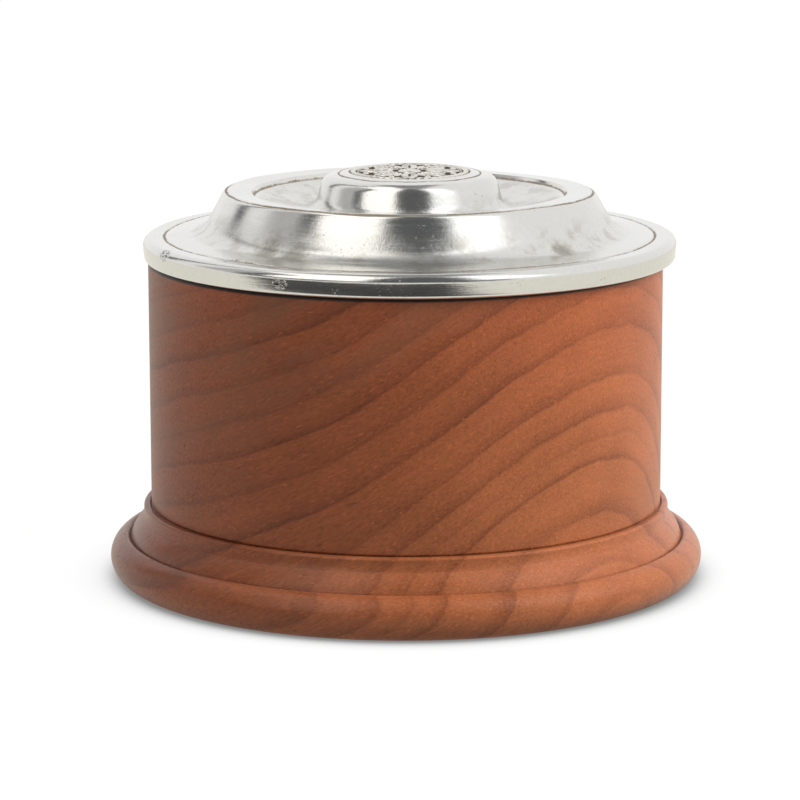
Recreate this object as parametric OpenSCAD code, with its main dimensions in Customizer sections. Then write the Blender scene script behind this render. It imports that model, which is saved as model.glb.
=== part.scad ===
// Salt box: a turned wooden vessel with a cast pewter lid, hinged at the back.
// Millimetres. +Z is up, the origin is the middle of the foot's underside, and -Y is the front.

/* [Wooden vessel] */
// Diameter of the straight wooden cylinder
body_d = 112; // [100:1:124]
// Height of the vessel, from the table to the seat of the lid
body_h = 70; // [60:1:84]
// Thickness of the wooden wall
wall_t = 9; // [8:0.5:11]
// Thickness of the wooden floor, above the recess in the underside
floor_t = 10; // [8:0.5:14]
// Radius of the cove where the inner wall meets the floor
cove_r = 8; // [4:0.5:12]
// Roundness of the inner edge of the mouth
mouth_round = 0.8; // [0.4:0.1:1.6]
// Roundness of the outer edge under the lid
seat_round = 0.8; // [0.4:0.1:1]

/* [Base mouldings] */
// How far the foot stands out from the cylinder
foot_out = 9.1; // [8:0.1:11]
// Height of the rounded foot
foot_h = 9.4; // [8:0.1:9.8]
// Radius of the foot's rounded edge
foot_round = 5; // [4.9:0.1:7]
// How far the quarter-round above the foot stands out from the cylinder
ovolo_out = 4.7; // [4:0.1:5.2]
// Radius of the quarter-round
ovolo_round = 10; // [9:0.1:12]
// How far the quarter-round's centre lies below the crease
ovolo_drop = 3; // [2:0.1:4]
// Depth of the crease between the foot and the quarter-round
crease_depth = 0.6; // [0.3:0.1:0.9]
// How far the bead at the cylinder's foot stands out
bead_out = 1.65; // [1.2:0.05:2]
// Height of the bead's top edge above the table
bead_top = 16.3; // [15.5:0.1:20]
// Roundness of the bead's top edge
bead_round = 0.7; // [0.3:0.1:0.9]
// Depth of the fine cut between the bead and the cylinder
bead_cut = 0.35; // [0.2:0.05:0.6]
// Width of the ring that the foot stands on
foot_ring_w = 11; // [7:0.5:16]
// Depth of the turned recess inside that ring
foot_recess = 1; // [0.5:0.1:2]

/* [Lid] */
// How far the lid's rim stands out from the cylinder
rim_over = 2.1; // [1.6:0.1:2.6]
// Height of the rim's top edge above its seat
rim_h = 5.1; // [4.8:0.1:6.5]
// Roundness of the rim's top edge
rim_round = 1.3; // [1:0.1:2.2]
// How far the rim's side leans in towards its lower edge
rim_lean = 0.5; // [0.2:0.1:0.8]
// Roundness of the rim's lower edge
rim_tuck = 1; // [0.6:0.1:1.6]
// Width of the rim's band, from its edge to the rim groove
rim_band = 4.8; // [3.6:0.1:6]
// Rise of the field from the rim groove to the foot of the step
field_rise = 0.8; // [0.2:0.1:1.2]
// Width of the field, from the rim groove to the foot of the step
field_w = 8.2; // [6:0.1:10]
// Height of the step above its foot
step_h = 9.1; // [7:0.1:11]
// Lean of the step's wall from the vertical, in degrees
step_lean = 28.3; // [18:0.1:34]
// Radius of the hollow at the foot of the step
step_cove = 5; // [3:0.1:6]
// Radius of the step's shoulder
step_shoulder = 1.5; // [0.8:0.1:2]
// Width of the flat ring between the two inner grooves
ring_w = 6; // [4.5:0.1:7.5]
// Fall of the flat ring towards its inner groove
ring_fall = 0.4; // [0.1:0.1:0.8]
// Drop from the flat ring to the edge of the well
well_lip = 0.9; // [0.6:0.1:1.4]
// Depth of the well below the flat ring, at the boss
well_depth = 4.2; // [3.6:0.1:4.8]
// Thickness of the cast metal
shell_t = 2.2; // [1.8:0.1:2.6]
// Width of the flat seat under the rim
seat_w = 5.4; // [4.4:0.1:6]
// How far the lid sits to the right of the vessel's axis
lid_shift = 0.9; // [0:0.1:0.9]

/* [Boss and medallion] */
// Diameter of the boss at its top, before its edge is rounded
boss_d = 37.4; // [34:0.2:40]
// Height of the boss above the well's floor
boss_h = 8; // [6:0.1:9]
// Fall of the boss's top from the medallion to its edge
boss_fall = 0.9; // [0.4:0.1:1.2]
// Lean of the boss's flank from the vertical, in degrees
boss_lean = 16.5; // [8:0.5:20]
// Roundness of the boss's top edge
boss_round = 2.6; // [1.2:0.1:3]
// Radius of the hollow at the foot of the boss
boss_cove = 1.8; // [0.8:0.1:2.4]
// Diameter of the groove round the medallion
boss_groove_d = 30.8; // [30:0.2:32]
// Diameter of the medallion
medallion_d = 25.8; // [20:0.2:27]
// Depth of the medallion's seat
medallion_seat = 1.2; // [0.8:0.1:1.6]
// Height of the medallion's relief
relief_h = 0.5; // [0.2:0.05:0.8]
// Number of petals in the rosette
petals = 8; // [5:1:12]

/* [Grooves] */
// Width of the cut grooves
groove_w = 0.7; // [0.4:0.05:1]
// Depth of the cut grooves
groove_d = 0.5; // [0.3:0.05:0.7]

/* [Locating ring] */
// Clearance between the locating ring and the mouth
locating_gap = 1.5; // [1.4:0.1:2.5]
// Thickness of the locating ring
locating_t = 1.4; // [1:0.1:2]
// Depth of the locating ring below the seat
locating_drop = 3; // [2:0.1:5]

/* [Hinge] */
// Radius of the knuckles
knuckle_r = 2.6; // [2.4:0.1:3]
// Radius of the hinge pin
pin_r = 1.1; // [0.8:0.05:1.3]
// Width of the middle knuckle
lug_w = 9.6; // [8:0.2:12]
// Width of each outer knuckle
side_knuckle_w = 6.8; // [5:0.1:9]
// Gap between two knuckles
knuckle_gap = 0.2; // [0.15:0.05:0.4]
// Gap between the knuckles and the lid's rim
rim_gap = 0.3; // [0.3:0.05:0.8]
// Height of the pin above the seat
pin_rise = 1.3; // [1:0.1:2]
// Largest opening angle of the lid, in degrees
open_angle = 105; // [95:1:112]
// Gap that is left at the stop when the lid is fully open
stop_gap = 0.15; // [0.1:0.05:0.3]
// How deep the lug is let into the rim
lug_inlet = 2.4; // [1.8:0.1:3]
// Thickness of the plate
plate_t = 1.6; // [1.2:0.1:1.8]
// Width of the plate
plate_w = 30; // [27:0.5:38]
// Height of the plate
plate_h = 14; // [13:0.5:18]
// Drop of the plate's top edge below the seat
plate_drop = 1; // [0.8:0.1:1.6]
// Height of the gussets that carry the outer knuckles
gusset_h = 4; // [3:0.5:4.5]

/* [Screws] */
// Radius of a screw's shank
screw_r = 0.95; // [0.8:0.05:1.2]
// Radius of a screw's head
screw_head_r = 1.9; // [1.7:0.05:2.2]
// Length of a screw
screw_len = 7; // [6:0.5:8]
// Distance of the side screws from the middle
screw_side = 9.5; // [8:0.5:11]
// Distance of the side screws below the gussets
screw_drop = 3.2; // [2.8:0.1:4]
// Distance of the lower screw above the plate's bottom edge
screw_low = 3.4; // [3:0.1:4.5]

/* [Clearances] */
// Clearance of the pin in the outer knuckles
pin_fit = 0.02; // [0.01:0.01:0.04]
// Running clearance of the pin in the middle knuckle
pin_run = 0.06; // [0.04:0.01:0.1]
// Gap of a soldered or screwed seat
seat_gap = 0.05; // [0.02:0.01:0.1]

/* [Hidden] */
$fn = 96;

// Colours
wood_tone = "#9c5a3c";
pewter_tone = "#c8c8c3";
dark_pewter_tone = "#a9a8a3";
steel_tone = "#8f9092";
brass_tone = "#b39a5e";

// Each rounded corner is drawn in steps of about this angle
arc_step = 9;
// Overlap of cutting shapes past the faces that they cut
cut_past = 1;

// Wooden vessel
body_r = body_d / 2;
mouth_r = body_r - wall_t;
floor_z = foot_recess + floor_t;
foot_r = body_r + foot_out;
foot_half = asin(foot_h / 2 / foot_round);
foot_stand_r = foot_r - foot_round + foot_round * cos(foot_half);
recess_r = foot_stand_r - foot_ring_w;
crease_z = foot_h - crease_depth;
ovolo_r = body_r + ovolo_out;
ovolo_start = asin(ovolo_drop / ovolo_round);
ovolo_centre = [ovolo_r - ovolo_round * cos(ovolo_start), crease_z - ovolo_drop];
bead_r = body_r + bead_out;
ovolo_end = acos((bead_r - ovolo_centre[0]) / ovolo_round);
bead_slope = 0.6;

// Lid: radii from the rim inwards, heights from the seat upwards
rim_r = body_r + rim_over;
rim_z = body_h + rim_h;
rim_groove_r = rim_r - rim_band;
seat_in_r = rim_r - rim_lean - rim_tuck - seat_w;
field_z = rim_z + field_rise;
step_foot_r = rim_groove_r - field_w;
step_top_r = step_foot_r - step_h * tan(step_lean);
ring_z = field_z + step_h;
shoulder_groove_r = step_top_r - groove_w / 2;
well_edge_r = shoulder_groove_r - ring_w;
well_edge_z = ring_z - ring_fall - well_lip;
well_z = ring_z - well_depth;
boss_z = well_z + boss_h;
boss_edge_z = boss_z - boss_fall;
boss_top_r = boss_d / 2;
boss_foot_r = boss_top_r + (boss_edge_z - well_z) * tan(boss_lean);
well_bend_r = (2 * boss_foot_r + well_edge_r) / 3;
well_bend_z = well_z + (well_edge_z - well_z) / 8;
well_bend_round = 14;

// Underside of the lid: the same corners, moved in by the metal's thickness
step_mitre = shell_t * tan((90 - step_lean) / 2);
boss_mitre = shell_t * tan((90 - boss_lean) / 2);
field_under_z = rim_z - shell_t;
step_under_r = step_foot_r - step_mitre;
ring_under_r = step_top_r - step_mitre;
ring_under_z = ring_z - shell_t;
boss_under_z = boss_z - medallion_seat - shell_t;
boss_inside_r = boss_top_r - boss_mitre;
boss_inside_foot_r = boss_inside_r + (boss_under_z - well_z + shell_t) * tan(boss_lean);
seat_edge_round = 0.4;
under_round = 1;
well_under_round = 4;
boss_inside_round = 1.5;

// Medallion
medallion_r = medallion_d / 2;
medallion_floor_z = boss_z - medallion_seat;
medallion_face_drop = 0.3;
medallion_face_z = boss_z - medallion_face_drop;
medallion_border = 1.2;
boss_groove_r = boss_groove_d / 2;
boss_groove_z = boss_z - boss_fall * (boss_groove_r - medallion_r) / (boss_top_r - medallion_r);

// Locating ring, which stands up to the underside of the field
locating_r = mouth_r - locating_gap;

// Hinge
plate_r = body_r + plate_t;
plate_top_z = body_h - plate_drop;
plate_low_z = plate_top_z - plate_h;
plate_corner = 0.8;
plate_bend = 3;
gusset_low_z = plate_top_z - gusset_h;
gusset_root = 3;
pin_y = rim_r + rim_gap + knuckle_r;
pin_z = body_h + pin_rise;
knuckle_row_w = lug_w + 2 * knuckle_gap + 2 * side_knuckle_w;
lug_seat_y = rim_r - lug_inlet;
lug_low_z = body_h + 0.2;
lug_top_z = rim_z - 0.8;
lug_low_inset = 0.6;
heel_start = 0.2;
heel_h = 1.1;
knuckle_root_r = knuckle_r * 0.95;
pin_head_r = pin_r + 0.6;
pin_head_h = 0.8;

// Screws: angle round the vessel and height of each head
screw_angle = asin(screw_side / plate_r);
screw_high_z = gusset_low_z - screw_drop;
screw_low_z = plate_low_z + screw_low;
screw_head_h = 1.1;
screw_seats = [[screw_angle, screw_high_z], [-screw_angle, screw_high_z], [0, screw_low_z]];

// A round stretch of an outline, from angle a0 to angle a1
function arc(centre, r, a0, a1) =
    let (n = max(2, ceil(abs(a1 - a0) / arc_step)))
    [for (i = [0:n])
        let (a = a0 + (a1 - a0) * i / n)
        [centre[0] + r * cos(a), centre[1] + r * sin(a), 0]];

// Direction from point p to point q, with length 1
function heading(p, q) = let (d = [q[0] - p[0], q[1] - p[1]]) d / norm(d);

// The arc that rounds the corner q between its neighbours p and s
function corner(p, q, s) =
    let (u = heading(q, p),
         v = heading(q, s),
         half = acos(u * v) / 2,
         middle = (u + v) / norm(u + v),
         centre = [q[0], q[1]] + middle * q[2] / sin(half),
         from = [q[0], q[1]] + u * q[2] / tan(half) - centre,
         to = [q[0], q[1]] + v * q[2] / tan(half) - centre,
         a0 = atan2(from[1], from[0]),
         turn = (atan2(to[1], to[0]) - a0 + 540) % 360 - 180)
    [for (p = arc(centre, q[2], a0, a0 + turn)) [p[0], p[1]]];

// An outline from a list of corners [x, y, radius]
function rounded(corners) =
    let (n = len(corners))
    [for (i = [0:n - 1])
        each (corners[i][2] > 0
            ? corner(corners[(i + n - 1) % n], corners[i], corners[(i + 1) % n])
            : [[corners[i][0], corners[i][1]]])];

// The turned outline of the vessel, from the middle of its underside outwards and up
function vessel_outline() = rounded(concat(
    [[0, foot_recess, 0],
     [recess_r, foot_recess, foot_recess / 3],
     [recess_r + foot_recess, 0, 0]],
    arc([foot_r - foot_round, foot_h / 2], foot_round, -foot_half, foot_half),
    [[ovolo_r + crease_depth, foot_h, 0]],
    arc(ovolo_centre, ovolo_round, ovolo_start, ovolo_end),
    [[bead_r, bead_top, bead_round],
     [body_r + bead_cut, bead_top, 0],
     [body_r - bead_cut, bead_top - bead_slope, 0],
     [body_r, bead_top + bead_cut, 0],
     [body_r, body_h, seat_round],
     [mouth_r, body_h, mouth_round],
     [mouth_r, floor_z, cove_r],
     [0, floor_z, 0]]));

// The cast outline of the lid: over the top from the middle to the rim, then back underneath
function lid_outline() = rounded([
    [0, boss_z, 0],
    [medallion_r, boss_z, 0],
    [boss_top_r, boss_edge_z, boss_round],
    [boss_foot_r, well_z, boss_cove],
    [well_bend_r, well_bend_z, well_bend_round],
    [well_edge_r, well_edge_z, 0],
    [well_edge_r + well_lip / 2, ring_z - ring_fall, well_lip / 3],
    [step_top_r, ring_z, step_shoulder],
    [step_foot_r, field_z, step_cove],
    [rim_groove_r, rim_z, 0],
    [rim_r, rim_z, rim_round],
    [rim_r - rim_lean, body_h, rim_tuck],
    [seat_in_r, body_h, seat_edge_round],
    [seat_in_r, field_under_z, under_round],
    [step_under_r, field_under_z, under_round / 2],
    [ring_under_r, ring_under_z, under_round],
    [well_bend_r, well_bend_z - shell_t, well_under_round],
    [boss_inside_foot_r, well_z - shell_t, boss_inside_round],
    [boss_inside_r, boss_under_z, boss_inside_round],
    [0, boss_under_z, 0]]);

// A V-shaped groove turned into a top face at radius r and height z
module turned_groove(r, z) {
    rotate_extrude()
        polygon([[r - groove_w, z + groove_d], [r, z - groove_d], [r + groove_w, z + groove_d]]);
}

// Moves its children to a screw's seat, with +Z pointing out of the vessel
module at_seat(seat) {
    rotate([0, 0, seat[0]])
        translate([0, plate_r, seat[1]])
            rotate([-90, 0, 0])
                children();
}

// Turns a drawing in Y and Z into a plate of width w, centred on x
module across(x, w) {
    translate([x - w / 2, 0, 0])
        rotate([90, 0, 90])
            linear_extrude(w)
                children();
}

// A bore of radius r along the hinge axis, through everything
module pin_bore(r) {
    across(0, knuckle_row_w + 2 * cut_past)
        translate([pin_y, pin_z])
            circle(r);
}

// The turned wooden vessel, with pilot holes for the hinge screws
module wood_body() {
    color(wood_tone)
        difference() {
            rotate_extrude()
                polygon(vessel_outline());
            for (seat = screw_seats)
                at_seat(seat)
                    translate([0, 0, -screw_len - seat_gap])
                        cylinder(h = screw_len, r = screw_r + seat_gap);
        }
}

// The cast lid: turned outline, four grooves, the medallion's seat and the lug's slot
module lid_shell() {
    color(pewter_tone)
        difference() {
            translate([lid_shift, 0, 0])
                difference() {
                    rotate_extrude()
                        polygon(lid_outline());
                    turned_groove(rim_groove_r, rim_z);
                    turned_groove(shoulder_groove_r, ring_z);
                    turned_groove(well_edge_r, well_edge_z);
                    turned_groove(boss_groove_r, boss_groove_z);
                    translate([0, 0, medallion_floor_z])
                        cylinder(h = medallion_seat + cut_past, r = medallion_r + seat_gap);
                }
            across(0, lug_w + 2 * seat_gap)
                translate([lug_seat_y, body_h - cut_past])
                    square([lug_inlet + cut_past, rim_h + 2 * cut_past]);
        }
}

// One petal of the rosette: the lens where two equal circles cross
module petal(inner, outer) {
    middle = (inner + outer) / 2;
    half = (outer - inner) / 2;
    intersection_for (side = [-1, 1])
        translate([middle, side * half * 0.75])
            circle(half * 1.25);
}

// The relief disc: a plain border and a rosette of petals round a button
module medallion() {
    border_in_r = medallion_r - medallion_border;
    button_r = medallion_r / 5;
    color(dark_pewter_tone)
        translate([lid_shift, 0, 0]) {
            translate([0, 0, medallion_floor_z])
                cylinder(h = medallion_face_z - medallion_floor_z, r = medallion_r);
            translate([0, 0, medallion_face_z])
                linear_extrude(relief_h) {
                    difference() {
                        circle(medallion_r);
                        circle(border_in_r);
                    }
                    circle(button_r);
                    for (i = [0:petals - 1])
                        rotate(i * 360 / petals)
                            petal(button_r + 0.6, border_in_r - 0.5);
                }
        }
}

// The ring under the lid that drops into the mouth
module locating_ring() {
    color(dark_pewter_tone)
        translate([lid_shift, 0, body_h - locating_drop])
            difference() {
                cylinder(h = field_under_z - body_h + locating_drop, r = locating_r);
                translate([0, 0, -cut_past])
                    cylinder(h = rim_h + locating_drop + 2 * cut_past, r = locating_r - locating_t);
            }
}

// The outline of the fixed leaf, seen from behind
module plate_outline() {
    half = plate_w / 2;
    tongue = half / 3;
    shoulder_z = plate_low_z + plate_h * 3 / 7;
    polygon(rounded([
        [-half, plate_top_z, plate_corner],
        [-half, shoulder_z, plate_bend],
        [-tongue, plate_low_z, plate_bend],
        [tongue, plate_low_z, plate_bend],
        [half, shoulder_z, plate_bend],
        [half, plate_top_z, plate_corner]]));
}

// One outer knuckle with the gusset that carries it on the plate, centred on x
module side_knuckle(x) {
    across(x, side_knuckle_w) {
        translate([pin_y, pin_z])
            circle(knuckle_r);
        polygon([
            [body_r - gusset_root, gusset_low_z],
            [body_r - gusset_root, plate_top_z],
            [pin_y - knuckle_r * 0.8, plate_top_z],
            [pin_y, pin_z],
            [pin_y + knuckle_root_r * cos(50), pin_z - knuckle_root_r * sin(50)],
            [plate_r, gusset_low_z]]);
    }
}

// The fixed leaf: a plate curved round the vessel, with two outer knuckles
module hinge_plate() {
    knuckle_x = (lug_w + side_knuckle_w) / 2 + knuckle_gap;
    color(pewter_tone)
        difference() {
            union() {
                intersection() {
                    cylinder(h = body_h, r = plate_r);
                    rotate([90, 0, 180])
                        linear_extrude(plate_r)
                            plate_outline();
                }
                side_knuckle(knuckle_x);
                side_knuckle(-knuckle_x);
            }
            translate([0, 0, -cut_past])
                cylinder(h = body_h + rim_h, r = body_r + seat_gap);
            pin_bore(pin_r + pin_fit);
            for (seat = screw_seats)
                at_seat(seat) {
                    translate([0, 0, -screw_head_h])
                        cylinder(h = screw_head_h + seat_gap, r1 = screw_r + seat_gap,
                                 r2 = screw_head_r + seat_gap);
                    translate([0, 0, -screw_len])
                        cylinder(h = screw_len, r = screw_r + seat_gap);
                }
        }
}

// The nose that meets the plate when the lid is fully open, drawn in that pose round the pin
module stop_heel() {
    reach = pin_y - plate_r - stop_gap;
    fall = pin_z - plate_top_z;
    polygon([
        [0, 0],
        [-reach, -fall - heel_start],
        [-reach, -fall - heel_start - heel_h],
        [-reach / 3, -fall - heel_h],
        [knuckle_root_r * cos(70), -knuckle_root_r * sin(70)]]);
}

// The lid's leaf: an arm let into the rim, the middle knuckle and the stop heel
module hinge_lug() {
    color(pewter_tone)
        difference() {
            union() {
                across(0, lug_w)
                    translate([pin_y, pin_z])
                        circle(knuckle_r);
                across(0, lug_w)
                    translate([pin_y, pin_z])
                        rotate(open_angle)
                            stop_heel();
                across(0, lug_w)
                    polygon([
                        [lug_seat_y, lug_low_z],
                        [lug_seat_y, lug_top_z],
                        [rim_r, lug_top_z],
                        [pin_y + knuckle_root_r * cos(60), pin_z + knuckle_root_r * sin(60)],
                        [pin_y, pin_z],
                        [pin_y - knuckle_root_r * cos(52), pin_z - knuckle_root_r * sin(52)],
                        [rim_r - lug_low_inset, lug_low_z]]);
            }
            pin_bore(pin_r + pin_run);
        }
}

// The hinge pin, with a domed head at each end
module hinge_pin() {
    end = knuckle_row_w / 2 + seat_gap;
    tip = end + pin_head_h;
    color(steel_tone)
        translate([0, pin_y, pin_z])
            rotate([0, 90, 0])
                rotate_extrude()
                    polygon(rounded([
                        [0, -tip, 0],
                        [pin_head_r, -tip, pin_head_h * 0.8],
                        [pin_head_r, -end, 0],
                        [pin_r, -end, 0],
                        [pin_r, end, 0],
                        [pin_head_r, end, 0],
                        [pin_head_r, tip, pin_head_h * 0.8],
                        [0, tip, 0]]));
}

// A countersunk wood screw in its seat, with a slot across its head
module hinge_screw(seat) {
    slot_w = screw_r / 2;
    slot_d = screw_head_h / 3;
    color(brass_tone)
        at_seat(seat)
            difference() {
                rotate_extrude()
                    polygon([
                        [0, 0],
                        [screw_head_r, 0],
                        [screw_r, -screw_head_h],
                        [screw_r, -screw_len + 2 * screw_r],
                        [0, -screw_len]]);
                translate([-screw_head_r - cut_past, -slot_w / 2, -slot_d])
                    cube([2 * screw_head_r + 2 * cut_past, slot_w, slot_d + cut_past]);
            }
}

wood_body();
lid_shell();
medallion();
locating_ring();
hinge_plate();
hinge_lug();
hinge_pin();
hinge_screw(screw_seats[0]);  // hinge_screw_left
hinge_screw(screw_seats[1]);  // hinge_screw_right
hinge_screw(screw_seats[2]);  // hinge_screw_lower
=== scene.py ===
"""Salt box: a turned wooden vessel and its cast pewter lid, hinged at the back.

Sizes in the classes are in millimetres; the meshes are in metres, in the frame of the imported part.
+Z is up, the origin is the middle of the foot's underside, and -Y is the front.
"""

import logging
import math
from dataclasses import dataclass
from enum import Enum
from typing import Any, Sequence

import bpy
import numpy as np
from mathutils import Matrix, Vector


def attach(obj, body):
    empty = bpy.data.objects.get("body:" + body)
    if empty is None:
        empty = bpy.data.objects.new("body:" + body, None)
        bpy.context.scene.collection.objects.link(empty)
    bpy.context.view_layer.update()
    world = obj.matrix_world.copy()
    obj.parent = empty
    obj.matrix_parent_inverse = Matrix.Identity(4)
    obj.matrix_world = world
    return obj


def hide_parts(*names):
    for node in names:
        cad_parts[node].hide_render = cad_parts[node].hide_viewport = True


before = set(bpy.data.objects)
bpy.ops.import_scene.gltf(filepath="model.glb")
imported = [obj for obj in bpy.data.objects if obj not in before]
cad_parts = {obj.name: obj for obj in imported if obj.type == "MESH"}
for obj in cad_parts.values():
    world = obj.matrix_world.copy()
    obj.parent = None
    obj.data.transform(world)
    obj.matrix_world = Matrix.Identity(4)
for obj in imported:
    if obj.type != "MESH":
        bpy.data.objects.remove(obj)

MM = 0.001
Array = np.ndarray
Socket = bpy.types.NodeSocket
Triple = tuple[float, float, float]
Colour = tuple[float, float, float, float]
# Where something lies on the lid: x, y and z from the lid's axis, and its size
Patch = tuple[float, float, float, float]
log = logging.getLogger("salt_box")


class Body(Enum):
    """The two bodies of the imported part."""

    VESSEL = "vessel"
    LID = "lid"


class Slot(Enum):
    """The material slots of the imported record."""

    WOOD = "turned_wood"
    PEWTER = "pewter"
    RELIEF = "pewter_relief"
    STEEL = "pin_steel"
    BRASS = "screw_brass"


# ---------------------------------------------------------------- colours and outlines


def tone(red: float, green: float, blue: float) -> Colour:
    """Turns a display colour, 0 to 255, into the linear colour that a shader takes.

    Args:
        red, green, blue: the colour as it should show under plain light.

    Returns:
        Linear red, green, blue and an alpha of 1.
    """
    part = np.array([red, green, blue]) / 255.0
    linear = np.where(part <= 0.04045, part / 12.92, ((part + 0.055) / 1.055) ** 2.4)
    return (float(linear[0]), float(linear[1]), float(linear[2]), 1.0)


def arc(centre: Sequence[float], radius: float, start: float, end: float, step: float = 3.0) -> Array:
    """Points on a circular arc: centre plus radius times cosine and sine of evenly spaced angles.

    Args:
        centre: middle of the arc, as radius from the axis and height.
        radius: radius of the arc.
        start, end: first and last angle in degrees.
        step: angle between two points in degrees.

    Returns:
        An array of points, one row each.
    """
    count = max(3, int(math.ceil(abs(end - start) / step)) + 1)
    turn = np.radians(np.linspace(start, end, count))
    return np.stack([centre[0] + radius * np.cos(turn), centre[1] + radius * np.sin(turn)], axis=1)


def round_corner(before: Array, at: Array, after: Array, radius: float, step: float = 6.0) -> Array:
    """The arc that rounds one corner of an outline.

    The arc's centre lies on the bisector, at radius over the sine of half the corner's angle.

    Args:
        before, at, after: the corner and its two neighbours.
        radius: radius of the rounding.
        step: angle between two points in degrees.

    Returns:
        The points of the arc, from the side of before to the side of after.
    """
    u = (before - at) / np.linalg.norm(before - at)
    v = (after - at) / np.linalg.norm(after - at)
    half = math.acos(float(np.clip(u @ v, -1.0, 1.0))) / 2.0
    centre = at + (u + v) / np.linalg.norm(u + v) * radius / math.sin(half)
    first = at + u * radius / math.tan(half) - centre
    last = at + v * radius / math.tan(half) - centre
    start = math.degrees(math.atan2(first[1], first[0]))
    swing = (math.degrees(math.atan2(last[1], last[0])) - start + 540.0) % 360.0 - 180.0
    return arc(centre, radius, start, start + swing, step)


def outline(corners: Sequence[Sequence[float]]) -> Array:
    """An outline from corners, each given as radius, height and rounding.

    Args:
        corners: the corners in order; the first and last lie on the axis.

    Returns:
        The outline's points.
    """
    table = np.asarray(corners, float)
    pieces = [table[:1, :2]]
    for before, at, after in zip(table[:-2], table[1:-1], table[2:]):
        sharp = at[2] <= 0.0
        pieces.append(at[None, :2] if sharp else round_corner(before[:2], at[:2], after[:2], at[2]))
    pieces.append(table[-1:, :2])
    return np.concatenate(pieces)


def subdivide(path: Array, spacing: Array) -> Array:
    """Splits each stretch of a path into equal parts no longer than its own spacing.

    A point of the new path is the stretch's start plus a whole share of the way to its end.

    Args:
        path: the points.
        spacing: the longest part allowed on each stretch, one value per stretch.

    Returns:
        The path with its added points.
    """
    step = np.diff(path, axis=0)
    length = np.linalg.norm(step, axis=1)
    parts = np.maximum(1, np.ceil(length / spacing - 1e-9)).astype(int)
    owner = np.repeat(np.arange(len(parts)), parts)
    share = (np.arange(parts.sum()) - np.repeat(np.cumsum(parts) - parts, parts)) / parts[owner]
    return np.concatenate([path[owner] + step[owner] * share[:, None], path[-1:]])


# ---------------------------------------------------------------- meshes


def make_mesh(
        name: str, points: Array, quads: Array, triangles: Array, crease: float = 32.0) -> bpy.types.Object:
    """Puts arrays of points and faces into a new object, smooth apart from its creases.

    Args:
        name: the object's name.
        points: one row per vertex, in millimetres.
        quads, triangles: vertex numbers of the faces, anticlockwise from outside.
        crease: edges that bend by more than this many degrees stay sharp.

    Returns:
        The new object, linked to the scene, at the origin.
    """
    mesh = bpy.data.meshes.new(name)
    corners = np.concatenate([quads.ravel(), triangles.ravel()]).astype(np.int32)
    first = len(quads) * 4
    starts = np.concatenate([np.arange(len(quads)) * 4, first + np.arange(len(triangles)) * 3])
    mesh.vertices.add(len(points))
    mesh.vertices.foreach_set("co", (points * MM).astype(np.float32).ravel())
    mesh.loops.add(len(corners))
    mesh.loops.foreach_set("vertex_index", corners)
    mesh.polygons.add(len(starts))
    mesh.polygons.foreach_set("loop_start", starts.astype(np.int32))
    mesh.update(calc_edges=True)
    mesh.validate()
    mesh.polygons.foreach_set("use_smooth", np.ones(len(mesh.polygons), bool))
    mesh.set_sharp_from_angle(angle=math.radians(crease))
    piece = bpy.data.objects.new(name, mesh)
    bpy.context.scene.collection.objects.link(piece)
    return piece


def revolve(points: Array) -> tuple[Array, Array, Array]:
    """Faces for a grid that closes round its second direction, with one point at each end.

    Args:
        points: rows by columns by 3; every point of the first and of the last row is the same.

    Returns:
        The vertices, the quads and the triangles. Outside is on the right of the rows' direction.
    """
    rows, columns = points.shape[:2]
    inner = points[1:-1].reshape(-1, 3)
    vertices = np.concatenate([points[:1, 0], inner, points[-1:, 0]])
    number = 1 + np.arange((rows - 2) * columns).reshape(rows - 2, columns)
    beside = np.roll(number, -1, axis=1)
    quads = np.stack([number[:-1], beside[:-1], beside[1:], number[1:]], axis=-1).reshape(-1, 4)
    last = len(vertices) - 1
    start = np.stack([np.zeros(columns, int), beside[0], number[0]], axis=-1)
    end = np.stack([np.full(columns, last), number[-1], beside[-1]], axis=-1)
    return vertices, quads, np.concatenate([start, end])


def turned(profile: Array, turns: Array, shift: float = 0.0) -> Array:
    """A surface of revolution: x is radius times cosine, y is radius times sine, z is height.

    Args:
        profile: radius and height of each row.
        turns: the angles of the columns, in radians.
        shift: how far the axis lies to the right.

    Returns:
        The grid of points, rows by columns by 3.
    """
    x = profile[:, :1] * np.cos(turns)[None, :] + shift
    y = profile[:, :1] * np.sin(turns)[None, :]
    z = np.repeat(profile[:, 1:2], len(turns), axis=1)
    return np.stack([x, y, z], axis=-1)


def ease(value: Array) -> Array:
    """A smoothstep: 0 at 0 and below, 1 at 1 and above."""
    t = np.clip(value, 0.0, 1.0)
    return t * t * (3.0 - 2.0 * t)


def bell(distance: Array, width: float | Array) -> Array:
    """A smooth hump: 1 at no distance, 0 from width outwards, in the shape of a smoothstep."""
    return ease(1.0 - np.abs(distance) / width)


# ---------------------------------------------------------------- materials


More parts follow.
